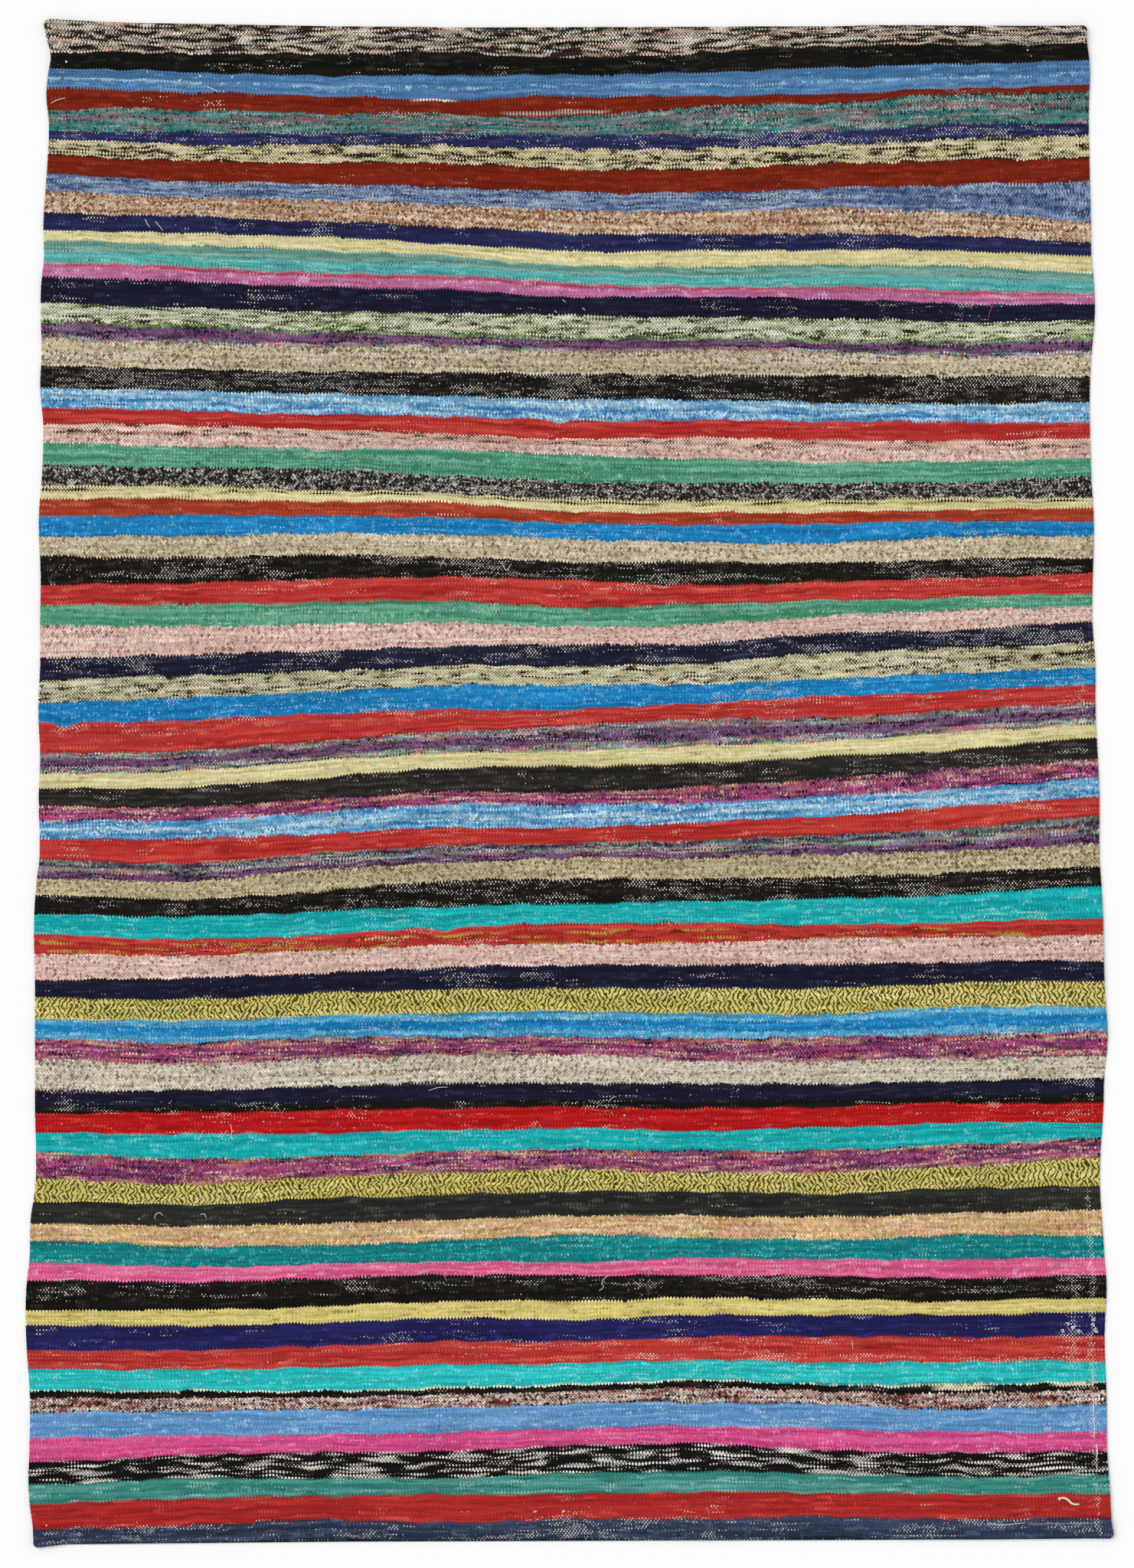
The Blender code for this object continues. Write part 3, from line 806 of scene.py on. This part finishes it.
    bump = add(tree, "Bump", 0.4, ROUND_OFF)
    tree.links.new(height.outputs[0], bump.inputs["Height"])
    tree.links.new(bump.outputs[0], shader.inputs["Normal"])
    tree.links.new(cloth.outputs[2], shader.inputs["Base Color"])  # a mix's third output is its colour
    shader.inputs["Roughness"].default_value = 0.95
    shader.inputs["IOR"].default_value = 1.5
    shader.inputs["Specular IOR Level"].default_value = 0.12
    return mat


rug.data.materials.append(rag_weave())
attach(rug, "root")
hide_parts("rug")


# ---------------------------------------------------------------------------------------------
# Loose threads: ends of the cotton wefts and warps that have worked out of the cloth, small
# knots and tufts where two strips were joined, and lint. They lie on the cloth, held by it.
# ---------------------------------------------------------------------------------------------
# Each thread's colour, thickness in mm, and the points it runs through, in mm across from the
# rug's middle and down from its far end.
Thread = namedtuple("Thread", "dye thick points")
THREADS = (
    Thread("e9dcbd", 4.6, ((959, 2898), (967, 2896), (976, 2900), (985, 2908), (998, 2909))),
    Thread("e3c9b6", 1.6, ((-1016, 166), (-1002, 159), (-987, 155))),
    Thread("c9b28e", 2.2, ((-831, 392), (-827, 401), (-822, 408))),
    Thread("c9b28e", 2.0, ((-811, 397), (-804, 405), (-796, 415))),
    Thread("d0477f", 0.9, ((830, 560), (824, 572), (819, 586))),
    Thread("dcd6ca", 1.3, ((-813, 2350), (-810, 2341), (-802, 2338), (-796, 2344))),
    Thread("dcd6ca", 1.3, ((-723, 2341), (-714, 2341), (-712, 2348))),
    Thread("e4ddd0", 1.3, ((-664, 2164), (-661, 2178), (-663, 2188), (-657, 2195))),
    Thread("d9b9b4", 1.0, ((-654, 1996), (-645, 2005), (-639, 2000))),
    Thread("dfe3e6", 1.4, ((-710, 133), (-700, 137), (-690, 142))),
    Thread("c8ccd0", 0.9, ((126, 836), (123, 848), (127, 862))),
    Thread("e6e2da", 1.2, ((-133, 1064), (-124, 1080), (-114, 1067))),
    Thread("d6d2c8", 1.1, ((-253, 1073), (-247, 1064), (-241, 1072))),
    Thread("dcd6ca", 1.3, ((-14, 550), (-7, 555))),
    Thread("dcd6ca", 1.3, ((-29, 571), (-25, 576))),
    Thread("dcd6ca", 1.3, ((25, 566), (31, 571))),
    Thread("e6e2da", 1.3, ((34, 1018), (40, 1013), (48, 1017))),
    Thread("e8e0b8", 1.2, ((-246, 1913), (-232, 1921), (-219, 1931))),
    Thread("dcd6ca", 1.1, ((76, 2122), (82, 2114), (92, 2110))),
    Thread("dcd6ca", 1.1, ((-276, 2099), (-258, 2093), (-238, 2092))),
    Thread("c0367c", 1.6, ((124, 2107), (131, 2112))),
    Thread("c9c6c2", 1.5, ((76, 2461), (67, 2468), (63, 2477), (67, 2483), (58, 2491))),
    Thread("cf8296", 1.2, ((-249, 2458), (-244, 2464), (-240, 2472))),
    Thread("cf8296", 1.2, ((-190, 2472), (-186, 2462), (-180, 2458))),
    Thread("d0b48a", 1.4, ((553, 2587), (554, 2597), (555, 2606))),
    Thread("dcd6ca", 1.1, ((721, 699), (726, 706), (731, 712))),
    Thread("dcd6ca", 1.0, ((811, 832), (817, 841), (824, 847))),
    Thread("dcd8ce", 2.0, ((1023, 2655), (1025, 2668), (1024, 2680))),
    Thread("dcd8ce", 2.4, ((1024, 2690), (1026, 2715), (1025, 2738))),
    Thread("dcd8ce", 2.0, ((1026, 2744), (1028, 2760), (1027, 2776))),
    Thread("dcd8ce", 2.6, ((1031, 2790), (1033, 2805), (1031, 2822))),
    Thread("dcd8ce", 1.8, ((1033, 2828), (1032, 2836), (1033, 2843))),
    Thread("d8dce0", 1.4, ((820, 2947), (850, 2949), (892, 2945))),
    Thread("b8c0c8", 0.8, ((900, 2948), (960, 2946), (1036, 2947))),
)
# Knots and tufts, of a few short strands: colour, thickness, mm across and down, and how wide they
# spread.
Tuft = namedtuple("Tuft", "dye thick across down width")
TUFTS = (
    Tuft("e9dcbd", 5.2, 959, 2898, 4.4),
    Tuft("dfe0e4", 1.6, 966, 2568, 8.0),
    Tuft("dfe0e4", 1.8, 975, 2556, 9.0),
    Tuft("dfe0e4", 1.6, 986, 2564, 9.0),
    Tuft("dfe0e4", 1.4, 996, 2570, 7.0),
    Tuft("dfe0e4", 1.2, 1027, 2547, 7.0),
    Tuft("dfe0e4", 1.8, 1024, 2556, 9.0),
    Tuft("dfe0e4", 1.6, 1031, 2568, 9.0),
    Tuft("e6e0d2", 2.2, -1024, 2950, 2.2),
    Tuft("e6e0d2", 1.2, -69, 2924, 7.0),
    Tuft("e6e0d2", 1.2, -13, 2923, 7.0),
    Tuft("e0d6c6", 1.2, -988, 2497, 8.0),
    Tuft("dcd6ca", 1.8, -843, 2350, 2.4),
    Tuft("dcd6ca", 1.8, -528, 2350, 3.0),
    Tuft("e6e0d2", 2.8, -985, 84, 3.0),
    Tuft("e8ddc4", 2.0, 897, 61, 2.4),
    Tuft("c8d4e0", 2.8, -826, 105, 3.0),
    Tuft("d8dde2", 1.5, -763, 120, 6.0),
    Tuft("d8dde2", 2.2, -723, 112, 4.0),
    Tuft("d8dde2", 2.2, -661, 115, 3.0),
    Tuft("e2d8c4", 2.2, 108, 2147, 2.6),
    Tuft("e6b8a8", 2.2, 286, 2164, 2.4),
    Tuft("e6e8e4", 2.4, -3, 2419, 2.6),
    Tuft("d8c8c0", 1.6, 350, 2594, 3.5),
    Tuft("c8c0bc", 1.0, 684, 850, 8.0),
)
STRANDS = 4  # in a knot or tuft
LINT = 110  # short fibres, scattered
LINT_DYE = "d9d4ca"
LINT_ACROSS = (-1030, 1030)  # mm, where they lie
LINT_DOWN = (20, 2970)
SAMPLES = 12  # along a thread
SIDES = 6  # round it


def smooth_run(points, samples):
    """A smooth curve through the points, as many samples of it as asked."""
    points = np.array(points, dtype=float)
    slope = np.gradient(points, axis=0)
    t = np.linspace(0, len(points) - 1, samples)
    i = np.clip(t.astype(int), 0, len(points) - 2)
    f = (t - i)[:, None]
    return (
        points[i] * (1 + 2 * f) * (1 - f) ** 2
        + points[i + 1] * f * f * (3 - 2 * f)
        + slope[i] * f * (1 - f) ** 2
        - slope[i + 1] * f * f * (1 - f)
    )


def on_cloth(x, y):
    """How high the cloth's upper face lies at this place."""
    hit, place, _, _ = rug.ray_cast((x, y, 0.1), (0.0, 0.0, -1.0))
    return place.z if hit else THICK


def thread_tube(points, thick, rise):
    """The points and faces of a thread that lies on the cloth, its middle a little off it."""
    run = smooth_run(points, SAMPLES) * MM
    x = run[:, 0]
    y = cad_high.y - run[:, 1]
    share = np.linspace(0, 1, SAMPLES)
    radius = thick / 2 * MM * (0.45 + 0.55 * np.sin(np.pi * np.clip(share, 0.1, 0.9)) ** 0.4)
    z = np.array([on_cloth(a, b) for a, b in zip(x, y)]) + radius * 0.7 + rise * MM * np.sin(np.pi * share)
    way = np.gradient(np.stack([x, y], axis=1), axis=0)
    way /= np.linalg.norm(way, axis=1, keepdims=True) + 1e-9
    turn = np.linspace(0, 2 * np.pi, SIDES, endpoint=False)
    out = radius[:, None] * np.cos(turn)
    up = radius[:, None] * np.sin(turn)
    ring = np.stack(
        [x[:, None] - way[:, 1:] * out, y[:, None] + way[:, :1] * out, z[:, None] + up], axis=-1
    )
    quads = []
    for s in range(SAMPLES - 1):
        for k in range(SIDES):
            a, b = s * SIDES + k, s * SIDES + (k + 1) % SIDES
            quads.append((a, b, b + SIDES, a + SIDES))
    ends = [tuple(range(SIDES))[::-1], tuple(range((SAMPLES - 1) * SIDES, SAMPLES * SIDES))]
    return ring.reshape(-1, 3), quads + ends


def loose_threads():
    bits = [(t.dye, thread_tube(t.points, t.thick, 1.2)) for t in THREADS]
    for tuft in TUFTS:
        for _ in range(STRANDS):
            start = random.uniform(0, 6.28)
            way = start + np.array([0.0, random.uniform(0.4, 2.0), random.uniform(1.8, 3.6)])
            half = tuft.width / 2 * random.uniform(0.2, 1.3, 3)
            strand = np.stack([tuft.across + half * np.cos(way), tuft.down + half * np.sin(way)], axis=1)
            bits.append((tuft.dye, thread_tube(strand, tuft.thick * random.uniform(0.6, 1.0), 1.0)))
    for _ in range(LINT):
        across = random.uniform(*LINT_ACROSS)
        down = random.uniform(*LINT_DOWN)
        turn = random.uniform(0, 6.28)
        bend = turn + random.uniform(-1.2, 1.2)
        long = random.uniform(1.2, 3.0)
        middle = (across + long * np.cos(turn), down + long * np.sin(turn))
        last = (middle[0] + long * np.cos(bend), middle[1] + long * np.sin(bend))
        fibre = thread_tube(((across, down), middle, last), random.uniform(0.5, 1.0), 0.6)
        bits.append((LINT_DYE, fibre))
    points, faces, dyes = [], [], []
    for colour, (ring, quads) in bits:
        faces += [tuple(n + len(points) for n in face) for face in quads]
        points += ring.tolist()
        dyes += [(*linear(colour), 1.0)] * len(ring)
    mesh = bpy.data.meshes.new("loose_threads")
    mesh.from_pydata(points, [], faces)
    mesh.attributes.new("dye", "FLOAT_COLOR", "POINT").data.foreach_set("color", np.array(dyes).ravel())
    mesh.shade_smooth()
    return mesh


bpy.context.view_layer.update()  # so that the threads can feel for the cloth
threads = bpy.data.objects.new("loose_threads", loose_threads())
bpy.context.scene.collection.objects.link(threads)


# Loosely spun cotton: matt, a little uneven in tone along the thread, so that it reads as fibre.
# Its fibres are too fine to show, so they are drawn as blotches of about a millimetre.
def spun_cotton():
    mat = bpy.data.materials.new("loose_spun_cotton")
    mat.use_nodes = True
    tree = mat.node_tree
    shader = tree.nodes["Principled BSDF"]
    where = add(tree, "TexCoord").outputs["Object"]
    fuzz = add(tree, "TexNoise", where, 0.9 / MM, 2.0)
    tone = add(tree, "Math", fuzz, 0.7, 0.62, operation="MULTIPLY_ADD")
    dyed = add(tree, "Attribute", attribute_name="dye").outputs["Color"]
    cotton = add(tree, "VectorMath", dyed, tone, operation="SCALE")
    bump = add(tree, "Bump", 0.5, 0.3 * MM)
    tree.links.new(fuzz.outputs[0], bump.inputs["Height"])
    tree.links.new(bump.outputs[0], shader.inputs["Normal"])
    tree.links.new(cotton.outputs[0], shader.inputs["Base Color"])
    shader.inputs["Roughness"].default_value = 0.9
    shader.inputs["Specular IOR Level"].default_value = 0.15
    return mat


threads.data.materials.append(spun_cotton())
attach(threads, "root")


# ---------------------------------------------------------------------------------------------
# The studio: the rug lies on white background paper, which is smooth, matt and all one tone, under
# a large soft light from one side and a white surround. The camera hangs straight above it.
# ---------------------------------------------------------------------------------------------
bpy.ops.mesh.primitive_plane_add(size=80.0, location=(0.0, 0.0, -0.5 * MM))
floor = bpy.context.object
floor.name = "floor"
paper = bpy.data.materials.new("white_background_paper")
paper.use_nodes = True
paper.node_tree.nodes["Principled BSDF"].inputs["Base Color"].default_value = (*linear("f7f7f7"), 1.0)
paper.node_tree.nodes["Principled BSDF"].inputs["Roughness"].default_value = 0.9
paper.node_tree.nodes["Principled BSDF"].inputs["Specular IOR Level"].default_value = 0.1
floor.data.materials.append(paper)

sun = bpy.data.lights.new("softbox", "SUN")
sun.energy = 1.55
sun.angle = 0.9  # wide, for soft shadows
lamp = bpy.data.objects.new("softbox", sun)
lamp.rotation_euler = (-0.35, -0.55, 0.0)
bpy.context.scene.collection.objects.link(lamp)

world = bpy.data.worlds.new("surround")
world.use_nodes = True
world.node_tree.nodes["Background"].inputs["Color"].default_value = (1.0, 1.0, 1.0, 1.0)
world.node_tree.nodes["Background"].inputs["Strength"].default_value = 0.66
bpy.context.scene.world = world
bpy.context.scene.view_settings.view_transform = "Standard"
bpy.context.scene.cycles.use_denoising = False  # it would smear knuckles that are a few pixels wide

PIXEL = 1.5 * MM  # one pixel of the 1481 x 2048 photograph on the rug
FRAME_TALL = 2048 * PIXEL
OFF_MIDDLE = (-5.0 * MM, -1.5 * MM)  # of the picture from the rug's own middle
LENS = 120.0  # a long lens, as the stripes stay as wide at the picture's edges
SENSOR = 36.0
camera = bpy.data.objects.new("camera", bpy.data.cameras.new("camera"))
camera.data.lens = LENS
camera.data.sensor_width = SENSOR
camera.location = (*OFF_MIDDLE, FRAME_TALL * LENS / SENSOR)
camera.data.clip_end = 100.0
bpy.context.scene.collection.objects.link(camera)
bpy.context.scene.camera = camera
